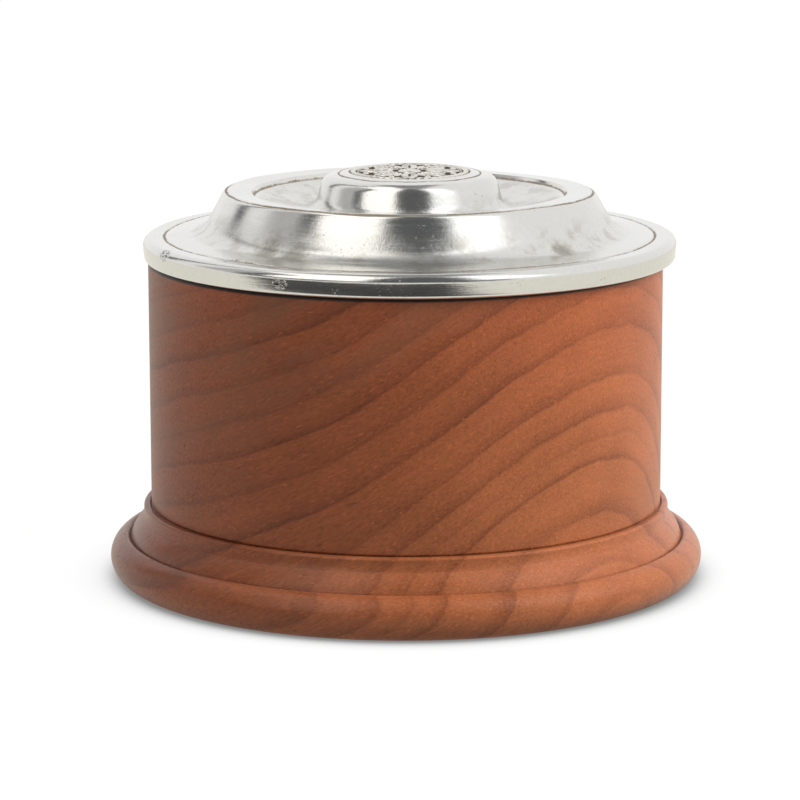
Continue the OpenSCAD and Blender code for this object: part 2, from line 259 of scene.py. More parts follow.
class Graph:
    """Adds and links the nodes of one material."""

    def __init__(self, name: str) -> None:
        """Starts an empty material of that name."""
        self.material = bpy.data.materials.new(name)
        self.material.use_nodes = True
        self.tree = self.material.node_tree
        self.tree.nodes.clear()

    def add(self, kind: str, inputs: dict[Any, Any] | None = None, **settings: Any) -> bpy.types.Node:
        """Adds one node.

        Args:
            kind: the node's type.
            inputs: values or sockets for its inputs, by name or number.
            settings: the node's own properties.

        Returns:
            The node.
        """
        node = self.tree.nodes.new(kind)
        for key, value in settings.items():
            setattr(node, key, value)
        for key, value in (inputs or {}).items():
            if isinstance(value, bpy.types.NodeSocket):
                self.tree.links.new(value, node.inputs[key])
            else:
                node.inputs[key].default_value = value
        return node

    def math(self, operation: str, a: Any, b: Any = 0.0, c: Any = 0.0) -> Socket:
        """One step of arithmetic on single values."""
        return self.add("ShaderNodeMath", {0: a, 1: b, 2: c}, operation=operation).outputs[0]

    def times(self, a: Any, b: Any) -> Socket:
        """The product of two values."""
        return self.math("MULTIPLY", a, b)

    def most(self, a: Any, b: Any) -> Socket:
        """The larger of two values."""
        return self.math("MAXIMUM", a, b)

    def plus(self, base: Any, value: Any, weight: Any) -> Socket:
        """A base plus a value times its weight."""
        return self.math("MULTIPLY_ADD", value, weight, base)

    def sway(self, base: Any, value: Any, weight: float) -> Socket:
        """A base plus a cloudy value times its weight, where a cloudy value of 0.5 changes nothing."""
        return self.plus(base, self.math("SUBTRACT", value, 0.5), weight)

    def vector(self, operation: str, a: Any, b: Any = None) -> Socket:
        """One step of arithmetic on vectors.

        Args:
            operation: the step.
            a: the first vector.
            b: the second vector or, for a scale, the factor.

        Returns:
            The vector or, for a length or a dot product, the value.
        """
        inputs = {0: a} if b is None else ({0: a, 3: b} if operation == "SCALE" else {0: a, 1: b})
        node = self.add("ShaderNodeVectorMath", inputs, operation=operation)
        return node.outputs[1 if operation in ("LENGTH", "DOT_PRODUCT") else 0]

    def place(self, offset: Triple = (0.0, 0.0, 0.0)) -> Socket:
        """The point on the piece, in millimetres, measured from offset."""
        spot = self.add("ShaderNodeTexCoord").outputs["Object"]
        return self.vector("SUBTRACT", self.vector("SCALE", spot, 1000.0), offset)

    def join(self, x: Any, y: Any, z: Any) -> Socket:
        """A vector from three values."""
        return self.add("ShaderNodeCombineXYZ", {0: x, 1: y, 2: z}).outputs[0]

    def split(self, spot: Socket) -> list[Socket]:
        """The three values of a vector."""
        return list(self.add("ShaderNodeSeparateXYZ", {0: spot}).outputs)

    def stretch(self, parts: Sequence[Any], scales: Triple) -> Socket:
        """A vector from three values, each times its own scale."""
        return self.join(*(self.times(part, scale) for part, scale in zip(parts, scales)))

    def away(self, spot: Socket, middle: Sequence[float], scales: Triple = (1.0, 1.0, 1.0)) -> Socket:
        """The length of the way from middle to spot, each part of it times its own scale."""
        way = self.vector("SUBTRACT", spot, tuple(middle))
        return self.vector("LENGTH", self.vector("MULTIPLY", way, scales))

    def noise(self, spot: Socket, scale: float, detail: float = 2.0, rough: float = 0.5) -> Socket:
        """A cloudy value from 0 to 1 round a middle of 0.5, with features about one over scale across."""
        inputs = {"Vector": spot, "Scale": scale, "Detail": detail, "Roughness": rough}
        return self.add("ShaderNodeTexNoise", inputs).outputs[0]

    def ramp(self, factor: Socket, stops: Sequence[tuple[float, float]]) -> Socket:
        """A grey by a value, in straight lines between stops.

        Args:
            factor: the value.
            stops: pairs of position and grey, in rising order.

        Returns:
            The grey.
        """
        node = self.add("ShaderNodeValToRGB", {0: factor})
        ramp = node.color_ramp
        ramp.interpolation = "LINEAR"
        for number, (position, grey) in enumerate(stops):
            if number < 2:
                ramp.elements[number].position = position
                ramp.elements[number].color = (grey, grey, grey, 1.0)
            else:
                ramp.elements.new(position).color = (grey, grey, grey, 1.0)
        return node.outputs[0]

    def step(self, value: Socket, low: float, high: float) -> Socket:
        """0 below low, 1 above high, and a smooth rise between them; high may be the lower one."""
        inputs = {0: value, 1: low, 2: high, 3: 0.0, 4: 1.0}
        return self.add("ShaderNodeMapRange", inputs, interpolation_type="SMOOTHSTEP").outputs[0]

    def mix(self, factor: Any, a: Any, b: Any) -> Socket:
        """Blends two colours."""
        return self.add("ShaderNodeMix", {0: factor, 6: a, 7: b}, data_type="RGBA").outputs[2]

    def lerp(self, factor: Any, a: Any, b: Any) -> Socket:
        """Blends two values."""
        return self.add("ShaderNodeMix", {0: factor, 2: a, 3: b}, data_type="FLOAT").outputs[0]

    def bump(self, height: Socket, depth: float, strength: float) -> Socket:
        """Tilts the surface by a height, where 1 is depth in millimetres."""
        inputs = {"Height": height, "Distance": depth * MM, "Strength": strength}
        return self.add("ShaderNodeBump", inputs).outputs[0]

    def surface(self, inputs: dict[str, Any]) -> bpy.types.Material:
        """Ends the material in a principled shader with these inputs.

        Args:
            inputs: values or sockets by the shader's own names.

        Returns:
            The finished material.
        """
        shader = self.add("ShaderNodeBsdfPrincipled", inputs)
        self.add("ShaderNodeOutputMaterial", {"Surface": shader.outputs[0]})
        return self.material


@dataclass(frozen=True)
class TurnedWood:
    """Oiled hardwood: growth rings round a pith that lies outside the vessel, fibres along it, and pores."""

    # A point on the pith, and the pith's direction
    pith: Triple = (20.2, -35.6, -24.3)
    along: Triple = (-0.802, 0.350, -0.483)
    # Radius of each late-wood line and how dark it is
    lines: tuple[tuple[float, float], ...] = (
        (12.0, 0.5), (20.5, 0.5), (31.0, 0.6), (40.7, 0.7), (45.2, 0.3), (49.6, 0.65), (55.8, 0.55),
        (64.6, 0.8), (71.8, 0.6), (78.1, 0.8), (83.4, 0.5), (89.2, 0.45), (95.4, 0.75), (101.0, 0.4),
        (107.2, 0.6), (112.5, 0.4), (118.6, 0.55), (124.4, 0.4), (130.6, 0.5), (137.0, 0.4))
    fade: float = 3.0
    early: Colour = tone(162, 95, 58)
    late: Colour = tone(98, 48, 30)
    heart: Colour = tone(164, 89, 54)
    fleck: Colour = tone(230, 128, 66)
    smoke: Colour = tone(138, 98, 74)
    # How far the fibres, the slow patches, the thin lines, the fine grain and the pores change the tone
    fibre_sway: float = 0.42
    cloud_sway: float = 0.45
    thin_sway: float = 0.34
    fine_sway: float = 0.80
    pore_dark: float = -0.17
    # Roughness where the fibre value is 0 and where it is 1
    wall_rough: tuple[float, float] = (0.34, 0.44)
    moulding_rough: tuple[float, float] = (0.24, 0.34)
    moulding_top: float = 17.5
    # Radius, height, reach, raggedness and darkness of the painted shade lines: shade painted in the two cuts
    # between the mouldings, and the painted shadow of the gap under the lid
    cuts: tuple[tuple[float, float, float, float, float], ...] = (
        (60.9, 9.0, 0.62, 0.9, 0.40), (56.0, 16.15, 0.6, 0.9, 0.42), (56.3, 70.1, 1.15, 0.12, 0.97))

    def rings(self, graph: Graph, radius: Socket) -> Socket:
        """How dark the wood is at a distance from the pith: it jumps up at each line and fades outwards.

        Args:
            graph: the material.
            radius: distance from the pith in millimetres.

        Returns:
            0 for early wood, towards 1 for late wood; the fade is a power of the way to the next line.
        """
        total: Any = 0.0
        edge = 0.55
        # A ramp holds 32 stops at most, so two ramps share the lines
        for group in (self.lines[:14], self.lines[13:]):
            low, high = group[0][0] - 2.0, group[-1][0] + 7.0
            stops: list[tuple[float, float]] = [(0.0, 0.0)]
            for line, dark in group:
                stops.append(((line - edge - low) / (high - low), 0.0))
                stops.append(((line - low) / (high - low), dark ** (1.0 / self.fade)))
            stops.append((1.0, 0.0))
            inputs = {0: radius, 1: low, 2: high, 3: 0.0, 4: 1.0}
            share = graph.add("ShaderNodeMapRange", inputs).outputs[0]
            total = graph.most(graph.ramp(share, stops), total)
        return graph.math("POWER", total, self.fade)

    def painted_shade(self, graph: Graph) -> Socket:
        """How dark the painted shade in the cuts between the mouldings and the painted shadow under the lid
        are.

        Args:
            graph: the material.

        Returns:
            The darkness near a cut's radius and height, with a ragged edge, and 0 elsewhere.
        """
        spot = graph.place()
        x, y, z = graph.split(spot)
        radius = graph.vector("LENGTH", graph.join(x, y, 0.0))
        ragged = graph.noise(spot, 0.9, 3.0, 0.7)
        total: Any = 0.0
        for line, height, span, uneven, dark in self.cuts:
            out, up = graph.math("SUBTRACT", radius, line), graph.math("SUBTRACT", z, height)
            away = graph.sway(graph.vector("LENGTH", graph.join(out, up, 0.0)), ragged, uneven)
            total = graph.most(total, graph.times(graph.step(away, span, span - 0.5), dark))
        return total

    def build(self) -> bpy.types.Material:
        """Makes the material.

        Every pattern is a noise over the way along the pith and the two ways across it.

        Returns:
            The material.
        """
        g = Graph("turned_wood")
        # On the left the rings bend level: there the point is read lower than it is
        x, _, z = g.split(g.place())
        sink = g.times(g.step(x, -8.0, -60.0), g.plus(1.0, z, 0.11))
        spot = g.vector("SUBTRACT", g.place(self.pith), g.join(0.0, 0.0, sink))
        axis = Vector(self.along).normalized()
        side = axis.orthogonal().normalized()
        ways = (axis, side, axis.cross(side))
        grain = tuple(g.vector("DOT_PRODUCT", spot, tuple(way)) for way in ways)
        run, across, rise = grain
        reach = g.math("SQRT", g.math("ADD", g.times(across, across), g.times(rise, rise)))
        slow = g.noise(g.stretch(grain, (0.4, 1.0, 1.0)), 0.035)
        quick = g.noise(g.stretch(grain, (0.25, 1.0, 1.0)), 0.22)
        warped = g.sway(g.sway(reach, slow, 4.0), quick, 1.3)
        # The lines lose their sharpness in places, as they do under oil
        fading = g.noise(g.stretch(grain, (0.6, 1.0, 1.0)), 0.05)
        late = g.times(self.rings(g, warped), g.ramp(fading, [(0.25, 0.32), (0.62, 0.92)]))
        # Thin lines inside a ring, fibres, and slow patches of tone
        thin = g.noise(g.stretch((warped, run, 0.0), (1.0, 0.02, 0.0)), 0.9, 3.0, 0.65)
        fibre = g.noise(g.stretch(grain, (0.14, 2.4, 2.4)), 1.0, 3.0, 0.6)
        cloud = g.noise(g.stretch(grain, (0.7, 1.0, 1.0)), 0.07)
        fine = g.noise(g.stretch(grain, (0.5, 1.7, 1.7)), 1.3, 2.0, 0.6)
        pore_spot = g.stretch(grain, (0.40, 2.2, 2.2))
        pores = g.step(g.noise(pore_spot, 1.0, 1.0, 0.4), 0.63, 0.74)
        # The flecks are read at another place, so that they don't fall on the pores
        flecks = g.step(g.noise(g.vector("ADD", pore_spot, (31.0, 7.0, 19.0)), 1.1), 0.60, 0.74)
        colour = g.mix(late, g.mix(g.step(reach, 30.0, 92.0), self.early, self.heart), self.late)
        shade: Any = 1.0
        sways = (self.fibre_sway, self.cloud_sway, self.thin_sway, self.fine_sway)
        for value, weight in zip((fibre, cloud, thin, fine), sways):
            shade = g.sway(shade, value, weight)
        colour = g.vector("SCALE", colour, g.plus(shade, pores, self.pore_dark))
        colour = g.mix(g.times(flecks, 0.40), colour, self.fleck)
        # Smoky grey-brown bands, mostly high up on the left
        smoke = g.noise(g.stretch((warped, run, 0.0), (1.0, 0.25, 0.0)), 0.10, 3.0, 0.55)
        smoke = g.times(g.step(smoke, 0.40, 0.60), g.step(reach, 66.0, 106.0))
        colour = g.mix(g.times(smoke, 0.55), colour, self.smoke)
        # Painted shade in the cuts between the mouldings and a painted shadow under the lid's rim darken the
        # colour
        colour = g.vector("SCALE", colour, g.math("SUBTRACT", 1.0, self.painted_shade(g)))
        height = g.plus(g.times(fibre, 0.35), pores, -0.8)
        # The mouldings are rubbed brighter than the wall
        polish = g.step(z, self.moulding_top, self.moulding_top - 2.0)
        low, high = (g.lerp(polish, *pair) for pair in zip(self.wall_rough, self.moulding_rough))
        rough = g.plus(g.lerp(fibre, low, high), pores, 0.2)
        return g.surface({"Base Color": colour, "Roughness": rough, "IOR": 1.45, "Specular IOR Level": 0.32,
                          "Sheen Weight": 0.04, "Sheen Roughness": 0.4,
                          "Normal": g.bump(height, 0.03, 0.7)})


@dataclass(frozen=True)
class CastPewter:
    """Cast pewter, turned bright: turning streaks, cast grain, pits, painted shade patches, and patina in the
    grooves.
    """

    name: str = "pewter"
    metal: Colour = tone(219, 218, 214)
    patina: Colour = tone(160, 149, 132)
    stain: Colour = tone(178, 173, 160)
    cove_shade: Colour = tone(146, 142, 130)
    pit: Colour = tone(96, 88, 76)
    centre: float = 0.9
    # Radius and half width of each patinated groove
    grooves: tuple[tuple[float, float], ...] = ()
    # Radii between which the metal was left rougher from the mould
    rough_from: float = 20.0
    rough_to: float = 33.0
    rough: float = 0.16
    # Where the casting left pits, and where shade is painted as darker patches
    scars: tuple[Patch, ...] = ()
    cove_shade_patches: tuple[Patch, ...] = ()

    def groove_mask(self, graph: Graph, radius: Socket, turn: Socket) -> Socket:
        """1 in the grooves, with the wandering edges of hand work.

        Args:
            graph: the material.
            radius: distance from the lid's axis in millimetres.
            turn: a spot that only changes round the axis.

        Returns:
            The mask.
        """
        ragged = graph.noise(turn, 2.2, 2.0, 0.6)
        moved = graph.sway(radius, graph.noise(turn, 0.35, 3.0, 0.6), 0.5)
        total: Any = 0.0
        for line, half in self.grooves:
            away = graph.math("ABSOLUTE", graph.math("SUBTRACT", moved, line))
            reach = graph.sway(away, ragged, half * 1.4)
            mask = graph.math("SUBTRACT", 1.0, graph.step(reach, half * 0.45, half * 1.15))
            total = graph.most(total, mask)
        return total

    def pits(self, graph: Graph, spot: Socket) -> Socket:
        """Where the casting left holes: rare small ones anywhere, and torn clusters at the scars.

        Args:
            graph: the material.
            spot: the point on the piece, from the lid's axis.

        Returns:
            1 in a hole and 0 elsewhere.
        """
        rare = graph.step(graph.noise(spot, 0.12, 1.0), 0.50, 0.66)
        total = graph.times(graph.step(graph.noise(spot, 2.6, 2.0, 0.45), 0.68, 0.76), rare)
        torn_spot = graph.vector("MULTIPLY", spot, (1.0, 1.0, 1.6))
        torn = graph.step(graph.noise(torn_spot, 1.5, 3.0, 0.6), 0.49, 0.58)
        for *middle, size in self.scars:
            near = graph.step(graph.away(spot, middle, (1.0, 1.0, 1.5)), size, size * 0.6)
            total = graph.most(total, graph.times(torn, near))
        return total

    def painted_cove_shade(self, graph: Graph, spot: Socket, cast: Socket) -> Any:
        """Painted shade: darker patches in the cove at the foot of the stepped wall.

        Args:
            graph: the material.
            spot: the point on the piece, from the lid's axis.
            cast: the cloudy value that frays the edges.

        Returns:
            1 in a patch of painted shade and 0 elsewhere.
        """
        total: Any = 0.0
        for *middle, size in self.cove_shade_patches:
            away = graph.sway(graph.away(spot, middle), cast, 3.0)
            total = graph.most(total, graph.step(away, size, size * 0.2))
        return total

    def build(self) -> bpy.types.Material:
        """Makes the material.

        Returns:
            The material.
        """
        g = Graph(self.name)
        spot = g.place((self.centre, 0.0, 0.0))
        x, y, z = g.split(spot)
        flat = g.join(x, y, 0.0)
        radius = g.vector("LENGTH", flat)
        # Turning streaks: quick across the radius and the height, slow round the axis
        streak = g.noise(g.stretch((radius, z, x), (6.0, 6.0, 0.12)), 1.0, 3.0, 0.6)
        comb = g.noise(g.stretch((radius, z, x), (1.9, 1.9, 0.05)), 1.0, 3.0, 0.65)
        grain = g.noise(spot, 2.6, 3.0, 0.6)
        cast = g.noise(spot, 1.1, 3.0, 0.55)
        swell = g.noise(spot, 0.13, 1.0)
        pits = self.pits(g, spot)
        inside = g.times(g.step(radius, self.rough_from - 1.0, self.rough_from + 1.5),
                         g.step(radius, self.rough_to + 0.5, self.rough_to - 1.5))
        # The hollow at the foot of the stepped wall is hard to reach, so it stays duller
        cove = g.times(g.step(radius, 41.6, 43.6), g.step(radius, 48.6, 46.2))
        stain = g.times(g.most(cove, inside), g.step(g.noise(spot, 0.16, 3.0, 0.6), 0.46, 0.62))
        colour = g.mix(g.times(stain, 0.5), self.metal, self.stain)
        # Painted shade: darker patches in the cove at the front of the stepped wall
        colour = g.mix(g.times(self.painted_cove_shade(g, spot, cast), 0.8), colour, self.cove_shade)
        colour = g.mix(g.times(pits, 0.9), colour, self.pit)
        colour = g.vector("SCALE", colour, g.sway(1.0, cast, 0.12))
        height = g.times(grain, 0.55)
        uneven = g.times(cast, g.most(inside, g.times(cove, 0.4)))
        for value, weight in ((streak, 0.25), (comb, 0.7), (cast, 0.45), (uneven, 3.0), (pits, -4.0)):
            height = g.plus(height, value, weight)
        rough = g.plus(g.plus(g.sway(self.rough, comb, 0.16), inside, 0.08), cove, 0.10)
        rough = g.sway(rough, swell, 0.10)
        if self.grooves:
            mask = self.groove_mask(g, radius, g.vector("SCALE", g.vector("NORMALIZE", flat), 40.0))
            # The underside has no grooves
            facing = g.split(g.add("ShaderNodeNewGeometry").outputs["True Normal"])[2]
            mask = g.times(mask, g.step(facing, -0.2, 0.1))
            colour = g.mix(mask, colour, self.patina)
            rough = g.lerp(mask, rough, 0.55)
        return g.surface({"Base Color": colour, "Metallic": 1.0, "Roughness": rough,
                          "Normal": g.bump(height, 0.02, 0.8)})


@dataclass(frozen=True)
class ReliefPewter:
    """The medallion's pewter: rubbed bright on top of the relief, brown patina in the ground."""

    metal: Colour = tone(226, 222, 214)
    patina: Colour = tone(90, 80, 66)

    def build(self) -> bpy.types.Material:
        """Makes the material; the piece's height attribute says how high the relief stands.

        Returns:
            The material.
        """
        g = Graph("pewter_relief")
        spot = g.place()
        high = g.add("ShaderNodeAttribute", attribute_name="height").outputs["Fac"]
        patchy = g.noise(spot, 1.6, 3.0, 0.6)
        grain = g.noise(spot, 6.0, 2.0, 0.6)
        bright = g.step(g.sway(high, patchy, 0.5), 0.25, 0.62)
        colour = g.mix(bright, self.patina, self.metal)
        height = g.plus(grain, patchy, 0.6)
        return g.surface({"Base Color": colour, "Metallic": g.lerp(bright, 0.75, 1.0),
                          "Roughness": g.lerp(bright, 0.62, 0.3), "Normal": g.bump(height, 0.02, 0.7)})


@dataclass(frozen=True)
class DrawnMetal:
    """Drawn or turned metal of the small hinge parts, with fine lines along x and a little tarnish."""

    name: str
    metal: Colour
    tarnish: Colour
    rough: float = 0.3

    def build(self) -> bpy.types.Material:
        """Makes the material.

        Returns:
            The material.
        """
        g = Graph(self.name)
        spot = g.place()
        line = g.noise(g.stretch(g.split(spot), (0.6, 9.0, 9.0)), 1.0)
        blot = g.noise(spot, 0.9, 3.0, 0.6)
        colour = g.mix(g.step(blot, 0.48, 0.72), self.metal, self.tarnish)
        rough = g.plus(self.rough, line, 0.14)
        return g.surface({"Base Color": colour, "Metallic": 1.0, "Roughness": rough,
                          "Normal": g.bump(line, 0.01, 0.6)})


# ---------------------------------------------------------------- the vessel


@dataclass
class Vessel:
    """The turned wooden vessel, in one piece with its base mouldings."""

    body_r: float = 56.0
    body_h: float = 70.0
    mouth_r: float = 47.0
    floor_z: float = 11.0
    cove_r: float = 8.0
    foot_r: float = 65.1
    foot_h: float = 9.4
    foot_round: float = 5.0
    recess: float = 1.0
    recess_r: float = 50.81
    ovolo_r: float = 60.7
    ovolo_round: float = 10.0
    ovolo_drop: float = 3.0
    crease_z: float = 8.8
    bead_r: float = 57.65
    bead_top: float = 16.3
    columns: int = 288

    def profile(self) -> Array:
        """The turned outline, from the middle of the underside outwards, up and down into the well.

        The foot's arc spans plus and minus the arcsine of half its height over its rounding. The
        quarter-round starts where its drop says and ends where its arc meets the bead's radius.

        Returns:
            Radius and height of each row.
        """
        half = math.degrees(math.asin(self.foot_h / 2.0 / self.foot_round))
        foot = arc((self.foot_r - self.foot_round, self.foot_h / 2.0), self.foot_round, -half, half)
        start = math.degrees(math.asin(self.ovolo_drop / self.ovolo_round))
        centre = self.ovolo_r - self.ovolo_round * math.cos(math.radians(start))
        end = math.degrees(math.acos((self.bead_r - centre) / self.ovolo_round))
        ovolo = arc((centre, self.crease_z - self.ovolo_drop), self.ovolo_round, start, end, 2.0)
        low = outline([
            (0.0, self.recess, 0.0),
            (self.recess_r, self.recess, 0.3),
            (self.recess_r + self.recess, 0.0, 0.2),
            (foot[0, 0], foot[0, 1], 0.0)])
        crease = np.array([
            (self.ovolo_r + 0.7, self.foot_h),
            (self.ovolo_r + 0.5, self.foot_h - 0.1),
            (self.ovolo_r + 0.12, self.foot_h - 0.5)])
        high = outline([
            (ovolo[-1, 0], ovolo[-1, 1], 0.0),
            (self.bead_r, self.bead_top, 0.7),
            (self.body_r + 0.35, self.bead_top, 0.12),
            (self.body_r - 0.35, self.bead_top - 0.6, 0.15),
            (self.body_r, self.bead_top + 0.35, 0.15),
            (self.body_r, self.body_h, 0.8),
            (self.mouth_r, self.body_h, 0.8),
            (self.mouth_r, self.floor_z, self.cove_r),
            (0.0, self.floor_z, 0.0)])
        path = np.concatenate([low, foot[1:], crease, ovolo, high[1:]])
        return subdivide(path, np.full(len(path) - 1, 2.5))

    def build(self) -> list[bpy.types.Object]:
        """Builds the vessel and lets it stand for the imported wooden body.

        Returns:
            The vessel alone.
        """
        turns = np.linspace(0.0, 2.0 * np.pi, self.columns, endpoint=False)
        piece = make_mesh("turned_vessel", *revolve(turned(self.profile(), turns)), crease=50.0)
        piece.data.materials.append(TurnedWood().build())
        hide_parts("wood_body")
        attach(piece, Body.VESSEL.value)
        return [piece]


# ---------------------------------------------------------------- the lid


@dataclass
class Lid:
    """The cast lid: rim, field, stepped wall, flat ring, dished well and boss, with four cut grooves."""

    shift: float = 0.9
    seat_z: float = 70.0
    rim_r: float = 58.1
    rim_z: float = 75.1
    rim_lean: float = 0.5
    tuck: float = 1.0
    rim_round: float = 1.7
    seat_in_r: float = 51.2
    field_z: float = 75.9
    step_foot_r: float = 45.1
    step_top_r: float = 40.2
    ring_z: float = 85.0
    well_edge_r: float = 33.85
    well_edge_z: float = 83.7
    well_z: float = 80.8
    boss_foot_r: float = 20.8
    boss_top_r: float = 18.7
    boss_edge_z: float = 87.9
    boss_z: float = 88.8
    boss_round: float = 2.6
    boss_cove: float = 3.4
    # Where the well's floor bends up towards the ring
    bend_r: float = 25.15
    bend_z: float = 81.16
    bend_round: float = 14.0
    # The underside: the field, the stepped wall and the hollow under the boss
    under_field_z: float = 72.9
    under_step_foot_r: float = 43.79
    under_step_top_r: float = 38.89
    under_ring_z: float = 82.8
    under_boss_foot_r: float = 19.07
    under_boss_r: float = 17.06
    under_boss_z: float = 85.4
    shell: float = 2.2
    slot_half: float = 4.85
    slot_y: float = 55.7
    # Radius, half width and depth of each cut groove
    grooves: tuple[tuple[float, float, float], ...] = (
        (53.3, 0.38, 0.30), (39.85, 0.34, 0.28), (33.72, 0.24, 0.20), (15.4, 0.26, 0.22))
    # Longest part of the outline between two rows: on the top, in a groove and underneath
    top_step: float = 0.9
    groove_step: float = 0.13
    under_step: float = 6.0
    # How far and in which direction the shoulder sank in the mould
    sag: float = 0.7
    sag_turn: float = 42.0
    scars: tuple[Patch, ...] = (
        (-51.9, -25.4, 74.4, 2.6), (-36.9, -38.6, 75.1, 2.2),
        (-33.5, -41.5, 75.1, 1.4), (-26.7, -51.5, 72.4, 2.0))
    # Patches of painted shade in the cove at the front
    cove_shade_patches: tuple[Patch, ...] = (
        (-24.5, -39.5, 76.3, 5.0), (-29.5, -35.0, 76.6, 4.0), (32.0, -33.2, 76.1, 3.4))
    medallion_r: float = 12.95
    medallion_z: float = 87.6
    columns: int = 356

    def profile(self) -> Array:
        """The lid's outline from the middle of its underside outwards, round the rim and in over the top.

        Returns:
            Radius and height of each row; the rows lie closer together in the grooves.
        """
        top = outline([
            (0.0, self.medallion_z, 0.0),
            (self.medallion_r, self.medallion_z, 0.15),
            (self.medallion_r, self.boss_z, 0.25),
            (self.boss_top_r, self.boss_edge_z, self.boss_round),
            (self.boss_foot_r, self.well_z, self.boss_cove),
            (self.bend_r, self.bend_z, self.bend_round),
            (self.well_edge_r, self.well_edge_z, 0.0),
            (self.well_edge_r + 0.45, self.ring_z - 0.4, 0.3),
            (self.step_top_r, self.ring_z, 1.5),
            (self.step_foot_r, self.field_z, 5.0),
            (self.grooves[0][0], self.rim_z, 0.3),
            (self.rim_r, self.rim_z, self.rim_round),
            (self.rim_r - self.rim_lean, self.seat_z, self.tuck),
            (self.rim_r - self.rim_lean - self.tuck - 1.0, self.seat_z, 0.0)])
        below = outline([
            (top[-1, 0], self.seat_z, 0.0),
            (self.seat_in_r, self.seat_z, 0.4),
            (self.seat_in_r, self.under_field_z, 1.0),
            (self.under_step_foot_r, self.under_field_z, 0.5),
            (self.under_step_top_r, self.under_ring_z, 1.0),
            (self.bend_r, self.bend_z - self.shell, 4.0),
            (self.under_boss_foot_r, self.well_z - self.shell, 1.5),
            (self.under_boss_r, self.under_boss_z, 1.5),
            (0.0, self.under_boss_z, 0.0)])
        below = subdivide(below, np.full(len(below) - 1, self.under_step))
        top = subdivide(top, np.full(len(top) - 1, self.top_step))
        middle = (top[:-1] + top[1:]) / 2.0
        lines = np.array([line for line, _, _ in self.grooves])
        near = np.min(np.abs(middle[:, :1] - lines[None, :]), axis=1)
        level = middle[:, 1] > self.rim_z - 0.4
        top = subdivide(top, np.where((near < 1.0) & level, self.groove_step, self.top_step))
        return np.concatenate([top, below[1:]])[::-1]

    def turns(self) -> Array:
        """The columns' angles: evenly spaced, with two close pairs at the sides of the lug's slot.

        A side's angle is the arccosine of its x from the lid's axis over the radius just behind the slot.

        Returns:
            The angles in radians, in rising order.
        """
        even = np.linspace(-np.pi, np.pi, self.columns, endpoint=False)
        sides = np.array([-self.slot_half, self.slot_half]) - self.shift
        at = np.arccos(sides / (self.slot_y + 1.0))
        clear = np.min(np.abs(even[:, None] - at[None, :]), axis=1) > 0.012
        return np.sort(np.concatenate([even[clear], at - 0.0004, at + 0.0004]))

    def cut(self, grid: Array, turns: Array, top_rows: Array) -> Array:
        """Cuts the grooves, lets the casting wander a little and sets the slot for the lug into the rim.

        A groove lowers the height by its depth times a V of the distance from its own radius, which wanders
        with the angle as a sum of sines. The shoulder sinks by a power of the cosine of the angle from the
        direction of its sag. The slot moves points behind its floor forward on to it.

        Args:
            grid: the revolved points.
            turns: the columns' angles.
            top_rows: which rows lie on the top.

        Returns:
            The changed points.
        """
        x = grid[..., 0] - self.shift
        y = grid[..., 1]
        radius = np.hypot(x, y)
        turn = turns[None, :]
        upper = grid[..., 2] > self.seat_z + 4.4
        drop = np.zeros_like(radius)
        for number, (line, half, depth) in enumerate(self.grooves):
            wander = 0.10 * np.sin(3.0 * turn + number) + 0.06 * np.sin(11.0 * turn + 2.0 * number)
            wander = wander + 0.03 * np.sin(41.0 * turn)
            width = half * (1.0 + 0.18 * np.sin(7.0 * turn + number) + 0.12 * np.sin(23.0 * turn + 1.0))
            drop += depth * np.clip(1.0 - np.abs(radius - line - wander) / width, 0.0, 1.0)
        swell = 0.05 * np.sin(5.0 * turn + 0.15 * radius) + 0.03 * np.sin(9.0 * turn - 0.4 * radius)
        face = top_rows[:, None] & upper
        # The right shoulder came out of the mould a little lower
        sag = self.sag * np.clip(np.cos(turn - math.radians(self.sag_turn)), 0.0, 1.0) ** 1.5
        sag = sag * np.clip((radius - 33.0) / 6.0, 0.0, 1.0) * np.clip((45.0 - radius) / 4.0, 0.0, 1.0)
        drop = drop + sag
        swell = swell * np.clip((radius - 13.5) / 4.0, 0.0, 1.0)
        z = grid[..., 2] + np.where(face, swell - drop, 0.0)
        inside = (np.abs(grid[..., 0]) <= self.slot_half + 0.02) & (y > self.slot_y)
        y = np.where(inside, self.slot_y, y)
        return np.stack([grid[..., 0], y, z], axis=-1)

    def build(self) -> list[bpy.types.Object]:
        """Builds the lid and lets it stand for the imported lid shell.

        Returns:
            The lid alone.
        """
        profile = self.profile()
        top_rows = np.arange(len(profile)) > int(np.argmax(profile[:, 0]))
        turns = self.turns()
        grid = self.cut(turned(profile, turns, self.shift), turns, top_rows)
        piece = make_mesh("cast_lid", *revolve(grid), crease=40.0)
        bands = tuple((line, half) for line, half, _ in self.grooves) + ((self.medallion_r + 0.1, 0.3),)
        finish = CastPewter(grooves=bands, scars=self.scars, cove_shade_patches=self.cove_shade_patches)
        piece.data.materials.append(finish.build())
        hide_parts("lid_shell")
        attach(piece, Body.LID.value)
        return [piece]


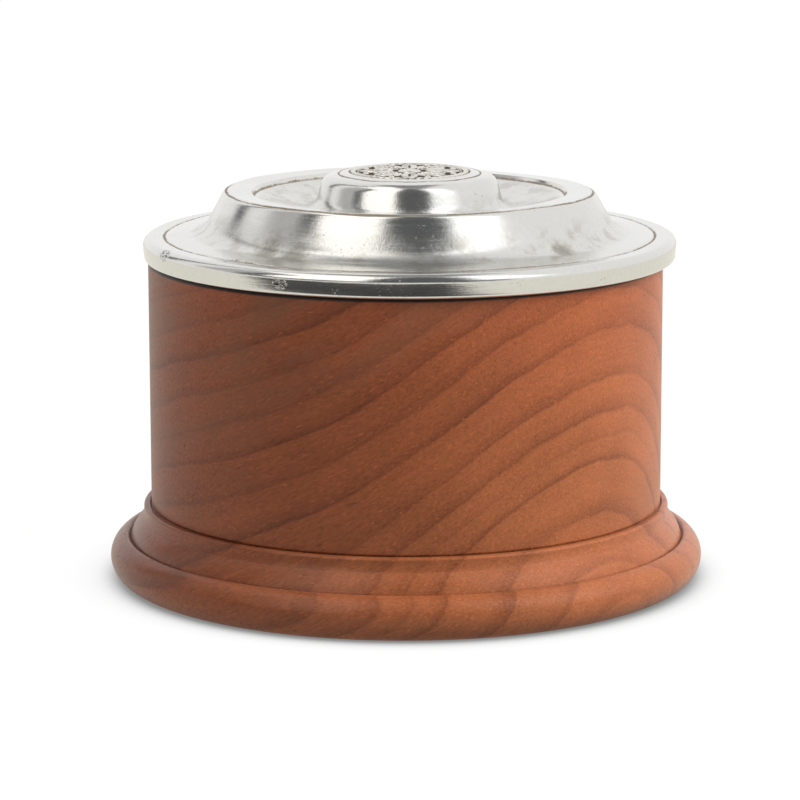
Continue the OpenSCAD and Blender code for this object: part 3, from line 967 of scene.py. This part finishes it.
@dataclass
class Medallion:
    """The relief disc: a rope border and a rosette of petals, darts and beads round a button."""

    shift: float = 0.9
    radius: float = 12.9
    floor_z: float = 87.6
    face_z: float = 88.5
    relief: float = 0.5
    border: float = 1.2
    petals: int = 8
    columns: int = 720

    def height(self, r: Array, turn: Array) -> Array:
        """The relief's height, 0 to 1, at a distance from the middle and an angle.

        A petal is where two circles of radius 5 overlap, their centres 3 to either side of a ray, with a vein
        down its middle and slanted ribs. Between the petals stand a smaller dart of the same kind and a bead.
        The border is a raised band notched by slanted sines, and the button is a low dome with a ring.

        Args:
            r: distances in millimetres.
            turn: angles in radians.

        Returns:
            The heights.
        """
        share = 2.0 * np.pi / self.petals

        def fold(start: float) -> tuple[Array, Array]:
            """The point as seen from the nearest ray: how far along it and how far off it."""
            off = (turn - start + share / 2.0) % share - share / 2.0
            return r * np.cos(off), np.abs(r * np.sin(off))

        along, off = fold(0.0)
        inside = 5.0 - np.hypot(along - 7.2, off + 3.0)
        petal = ease(inside / 0.45)
        petal = petal * (1.0 - 0.95 * bell(off, 0.5) * ease((along - 3.9) / 0.6) * ease((10.3 - along) / 0.8))
        stripes = ease(0.5 + 0.9 * np.cos(2.0 * np.pi * (along - 1.4 * off) / 1.5))
        ribs = 1.0 - 0.9 * ease((inside - 0.45) / 0.3) * stripes
        between, away = fold(share / 2.0)
        dart = ease((3.2 - np.hypot(between - 6.5, away + 2.3)) / 0.4)
        bead = ease((0.86 - np.hypot(between - 10.2, away)) / 0.4)
        rope = 0.88 + 0.12 * np.cos(48.0 * turn + 5.0 * r)
        rope = ease((r - self.radius + self.border + 0.1) / 0.3) * rope
        button = ease((2.7 - r) / 0.5) * (1.0 - 0.7 * bell(r - 1.7, 0.35))
        parts = (petal * ribs, dart, bead, rope, button, 0.7 * bell(r - 11.25, 0.26))
        return np.maximum.reduce([part * np.ones_like(r * turn) for part in parts])

    def build(self) -> list[bpy.types.Object]:
        """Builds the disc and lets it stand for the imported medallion.

        Returns:
            The disc alone.
        """
        top = np.linspace(self.radius - 0.12, 0.0, 104)
        below = np.array([
            (0.0, self.floor_z),
            (self.radius - 0.3, self.floor_z),
            (self.radius, self.floor_z + 0.2),
            (self.radius, self.face_z - 0.1)])
        profile = np.concatenate([below, np.stack([top, np.full(len(top), self.face_z)], axis=1)])
        turns = np.linspace(0.0, 2.0 * np.pi, self.columns, endpoint=False)
        grid = turned(profile, turns, self.shift)
        on_face = (np.arange(len(profile)) >= len(below))[:, None]
        rise = self.height(profile[:, :1], turns[None, :]) * on_face
        rise[-1] = rise[-1].mean()
        grid[..., 2] += rise * self.relief
        piece = make_mesh("relief_disc", *revolve(grid), crease=70.0)
        spread = np.concatenate([rise[:1, 0], rise[1:-1].ravel(), rise[-1:, 0]])
        layer = piece.data.attributes.new("height", "FLOAT", "POINT")
        layer.data.foreach_set("value", spread.astype(np.float32))
        piece.data.materials.append(ReliefPewter().build())
        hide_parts("medallion")
        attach(piece, Body.LID.value)
        return [piece]


# ---------------------------------------------------------------- ring and hinge


@dataclass
class Fittings:
    """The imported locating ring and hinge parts, each dressed in its own finish."""

    steel: DrawnMetal = DrawnMetal("pin_steel", tone(190, 190, 192), tone(150, 148, 146))
    brass: DrawnMetal = DrawnMetal("screw_brass", tone(205, 172, 104), tone(150, 116, 66))

    def dress(self, nodes: Sequence[str], material: bpy.types.Material) -> list[bpy.types.Object]:
        """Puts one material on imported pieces.

        Args:
            nodes: the pieces' names.
            material: the finish.

        Returns:
            The pieces.
        """
        pieces = [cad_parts[name] for name in nodes]
        for piece in pieces:
            piece.data.materials.clear()
            piece.data.materials.append(material)
        return pieces

    def build(self) -> list[bpy.types.Object]:
        """Dresses the ring, the two leaves, the pin and the screws.

        Returns:
            The seven pieces.
        """
        plain = CastPewter(name="pewter_plain", rough_from=44.0, rough_to=60.0, rough=0.28).build()
        pieces = self.dress(["locating_ring", "hinge_plate", "hinge_lug"], plain)
        pieces += self.dress(["hinge_pin"], self.steel.build())
        screws = [f"hinge_screw_{side}" for side in ("left", "right", "lower")]
        return pieces + self.dress(screws, self.brass.build())


# ---------------------------------------------------------------- the studio


@dataclass
class Studio:
    """The pale floor, the surround, the soft lamps, the reflector cards and panels, and the camera."""

    # Where the camera stands in metres, its angles in degrees, its lens and sensor in millimetres
    camera_spot: Triple = (0.0, -0.776, 0.190)
    pitch: float = 11.07
    pan: float = 0.093
    roll: float = -0.110
    lens: float = 162.0
    sensor: float = 36.0
    # Light of the surround and of the floor on anything that isn't a mirror, where 1 is white
    ambient: float = 0.31
    bounce: float = 0.40
    floor_size: float = 3.0

    def camera(self) -> None:
        """Sets the camera up at the photograph's angle, distance and lens."""
        data = bpy.data.cameras.new("camera")
        data.lens, data.sensor_width = self.lens, self.sensor
        data.clip_start, data.clip_end = 0.01, 50.0
        eye = bpy.data.objects.new("camera", data)
        pan = Matrix.Rotation(math.radians(self.pan), 4, "Z")
        pitch = Matrix.Rotation(math.radians(90.0 - self.pitch), 4, "X")
        roll = Matrix.Rotation(math.radians(self.roll), 4, "Z")
        eye.matrix_world = Matrix.Translation(self.camera_spot) @ (pan @ pitch) @ roll
        bpy.context.scene.collection.objects.link(eye)
        bpy.context.scene.camera = eye

    def world(self) -> None:
        """A white surround for the camera and the metal, and a softer one for the light that it gives."""
        world = bpy.data.worlds.new("studio")
        bpy.context.scene.world = world
        world.use_nodes = True
        tree = world.node_tree
        tree.nodes.clear()
        path = tree.nodes.new("ShaderNodeLightPath")
        seen = tree.nodes.new("ShaderNodeMath")
        seen.operation = "MAXIMUM"
        tree.links.new(path.outputs["Is Camera Ray"], seen.inputs[0])
        tree.links.new(path.outputs["Is Glossy Ray"], seen.inputs[1])
        strength = tree.nodes.new("ShaderNodeMapRange")
        strength.inputs[3].default_value = self.ambient
        strength.inputs[4].default_value = 1.0
        tree.links.new(seen.outputs[0], strength.inputs[0])
        light = tree.nodes.new("ShaderNodeBackground")
        light.inputs[0].default_value = (1.0, 1.0, 1.0, 1.0)
        tree.links.new(strength.outputs[0], light.inputs[1])
        end = tree.nodes.new("ShaderNodeOutputWorld")
        tree.links.new(light.outputs[0], end.inputs[0])

    def floor(self) -> None:
        """A plain white floor with a painted contact shadow: its glow goes grey only where the object stands
        close over it.
        """
        size = self.floor_size
        mesh = bpy.data.meshes.new("floor")
        corners = [(-size, -size, 0.0), (size, -size, 0.0), (size, size, 0.0), (-size, size, 0.0)]
        mesh.from_pydata(corners, [], [(0, 1, 2, 3)])
        floor = bpy.data.objects.new("floor", mesh)
        bpy.context.scene.collection.objects.link(floor)
        g = Graph("floor")
        path = g.add("ShaderNodeLightPath")
        seen = g.most(path.outputs["Is Camera Ray"], path.outputs["Is Glossy Ray"])
        # Painted contact shadow: ambient occlusion near the object dims the floor's glow; the thin diffuse
        # layer adds only a faint real shadow
        near = g.add("ShaderNodeAmbientOcclusion", {"Distance": 0.028}, samples=16).outputs["AO"]
        paper = g.mix(path.outputs["Is Camera Ray"], (0.88, 0.855, 0.78, 1.0), (0.99, 0.99, 0.99, 1.0))
        strength = g.plus(0.24, g.step(near, 0.12, 0.91), 0.76)
        white = g.add("ShaderNodeEmission", {"Color": paper, "Strength": strength})
        grey = (self.bounce, self.bounce, self.bounce, 1.0)
        bounce = g.add("ShaderNodeEmission", {"Color": grey, "Strength": 1.0})
        thin = g.add("ShaderNodeBsdfDiffuse", {"Color": (0.035, 0.035, 0.035, 1.0)})
        both = g.add("ShaderNodeAddShader", {0: white.outputs[0], 1: thin.outputs[0]})
        pick = g.add("ShaderNodeMixShader", {0: seen, 1: bounce.outputs[0], 2: both.outputs[0]})
        g.add("ShaderNodeOutputMaterial", {"Surface": pick.outputs[0]})
        mesh.materials.append(g.material)

    def card(self, name: str, west: float, east: float, low: float, high: float, strength: float,
             tint: Triple, edge: float, distance: float) -> None:
        """A reflector that only the metal and the polish see, a patch of a sphere round the lid.

        Its points lie at its distance in the direction of an azimuth, measured from the camera towards the
        right, and an elevation. Its glow falls to nothing over the soft edge.

        Args:
            name: the card's name.
            west, east: azimuths of its left and right edges in degrees.
            low, high: elevations of its lower and upper edges in degrees.
            strength: how bright it is, where 1 is white; 0 makes a black card.
            tint: its colour.
            edge: width of the soft edge in degrees.
            distance: distance from the lid in metres; a nearer card covers a farther one.
        """
        columns, rows = 49, 33
        turn, lift = np.meshgrid(np.linspace(west, east, columns), np.linspace(low, high, rows))
        a, e = np.radians(turn), np.radians(lift)
        points = np.stack([np.cos(e) * np.sin(a), -np.cos(e) * np.cos(a), np.sin(e)], axis=-1).reshape(-1, 3)
        points = points * distance / MM + np.array([0.0, 0.0, 80.0])
        inward = np.minimum(np.minimum(turn - west, east - turn), np.minimum(lift - low, high - lift))
        self.reflector(name, points, columns, inward / edge, strength, tint)

    def panel(self, name: str, across: tuple[float, float], along: tuple[float, float], height: float,
              strength: float, tint: Triple, edge: float) -> None:
        """A level reflector that only the metal and the polish see, overhead or just above the floor.

        Args:
            name: the panel's name.
            across, along: its first and last x, and its first and last y, in metres.
            height: its z in metres.
            strength: how bright it is, where 1 is white.
            tint: its colour.
            edge: width of the soft edge in metres.
        """
        columns, rows = 41, 61
        x, y = np.meshgrid(np.linspace(*across, columns), np.linspace(*along, rows))
        inward = np.minimum(np.minimum(x - across[0], across[1] - x), np.minimum(y - along[0], along[1] - y))
        points = np.stack([x, y, np.full_like(x, height)], axis=-1).reshape(-1, 3) / MM
        self.reflector(name, points, columns, inward / edge, strength, tint)

    def reflector(self, name: str, points: Array, columns: int, inward: Array, strength: float,
                  tint: Triple) -> None:
        """Builds a reflector from a grid of points.

        Its glow is a smoothstep of inward, which is 0 at its border and 1 or more inside the soft edge.

        Args:
            name: the reflector's name.
            points: its points in millimetres, row by row.
            columns: how many points a row has.
            inward: the way in from the border, in widths of the soft edge.
            strength: how bright it is, where 1 is white.
            tint: its colour.
        """
        number = np.arange(len(points)).reshape(-1, columns)
        corners = (number[:-1, :-1], number[1:, :-1], number[1:, 1:], number[:-1, 1:])
        quads = np.stack(corners, axis=-1).reshape(-1, 4)
        card = make_mesh(name, points, quads, np.zeros((0, 3), int))
        layer = card.data.attributes.new("glow", "FLOAT", "POINT")
        layer.data.foreach_set("value", ease(inward).ravel().astype(np.float32))
        g = Graph(name)
        glow = g.add("ShaderNodeAttribute", attribute_name="glow").outputs["Fac"]
        light = g.add("ShaderNodeEmission", {"Color": (*tint, 1.0), "Strength": strength})
        clear = g.add("ShaderNodeBsdfTransparent", {"Color": (1.0, 1.0, 1.0, 1.0)})
        pick = g.add("ShaderNodeMixShader", {0: glow, 1: clear.outputs[0], 2: light.outputs[0]})
        g.add("ShaderNodeOutputMaterial", {"Surface": pick.outputs[0]})
        card.data.materials.append(g.material)
        card.visible_camera = card.visible_diffuse = card.visible_shadow = False
        card.visible_transmission = card.visible_volume_scatter = False

    def lamp(self, name: str, azimuth: float, elevation: float, distance: float, size: float,
             radiance: float, tint: Triple) -> None:
        """A square soft lamp aimed at the object, seen only as the light that it gives.

        Args:
            name: the lamp's name.
            azimuth: direction from the camera towards the right, in degrees.
            elevation: height of its direction in degrees.
            distance: distance from the object in metres.
            size: side of the square in metres.
            radiance: brightness of its face, where 1 is white.
            tint: its colour.
        """
        data = bpy.data.lights.new(name, "AREA")
        data.shape, data.size = "SQUARE", size
        data.energy = radiance * math.pi * size * size
        data.color = tint
        lamp = bpy.data.objects.new(name, data)
        a, e = math.radians(azimuth), math.radians(elevation)
        way = Vector((math.cos(e) * math.sin(a), -math.cos(e) * math.cos(a), math.sin(e)))
        spot = way * distance + Vector((0.0, 0.0, 0.05))
        lamp.matrix_world = Matrix.Translation(spot) @ way.to_track_quat("Z", "Y").to_matrix().to_4x4()
        lamp.visible_glossy = False
        bpy.context.scene.collection.objects.link(lamp)

    def build(self) -> None:
        """Sets up the camera, the surround, the floor, the lamps, the cards and the panels."""
        self.camera()
        self.world()
        self.floor()
        self.lamp("lamp_right", 78.0, 36.0, 1.2, 0.9, 8.2, (1.0, 0.985, 0.96))
        self.lamp("lamp_left", -38.0, 45.0, 1.2, 0.6, 1.0, (1.0, 0.99, 0.97))
        self.card("card_dark", -84.0, 46.0, -1.0, 84.0, 0.12, (0.92, 0.97, 1.0), 9.0, 1.50)
        self.card("card_side", -108.0, -74.0, 2.0, 82.0, 0.54, (1.0, 0.99, 0.98), 12.0, 1.46)
        self.card("card_streak", -132.0, -119.0, 6.0, 80.0, 0.10, (1.0, 1.0, 1.0), 4.0, 1.43)
        self.card("card_warm", -66.0, -17.0, 13.0, 84.0, 1.6, (1.0, 0.985, 0.95), 3.5, 1.40)
        self.card("card_cool", 24.0, 69.0, 15.0, 76.0, 1.75, (0.98, 0.99, 1.0), 11.0, 1.40)
        self.panel("card_high", (-0.80, -0.15), (-0.85, 0.28), 1.24, 1.6, (1.0, 0.985, 0.95), 0.10)
        self.panel("card_low", (-0.40, 0.12), (-0.42, -0.105), 0.0004, 0.06, (1.0, 1.0, 1.0), 0.05)
        self.panel("card_over", (-0.42, 0.36), (-0.30, 1.10), 1.30, 0.30, (0.97, 0.99, 1.0), 0.20)


def main() -> None:
    """Sets up the studio, builds the salt box in order and reports each piece."""
    logging.basicConfig(level=logging.INFO, format="%(message)s")
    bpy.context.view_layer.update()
    scene = bpy.context.scene
    scene.view_settings.view_transform = "Standard"
    Studio().build()
    for part in (Vessel(), Lid(), Medallion(), Fittings()):
        for piece in part.build():
            log.info("%s: %s, %d faces", type(part).__name__, piece.name, len(piece.data.polygons))
    bpy.context.view_layer.update()


if __name__ == "__main__":
    main()
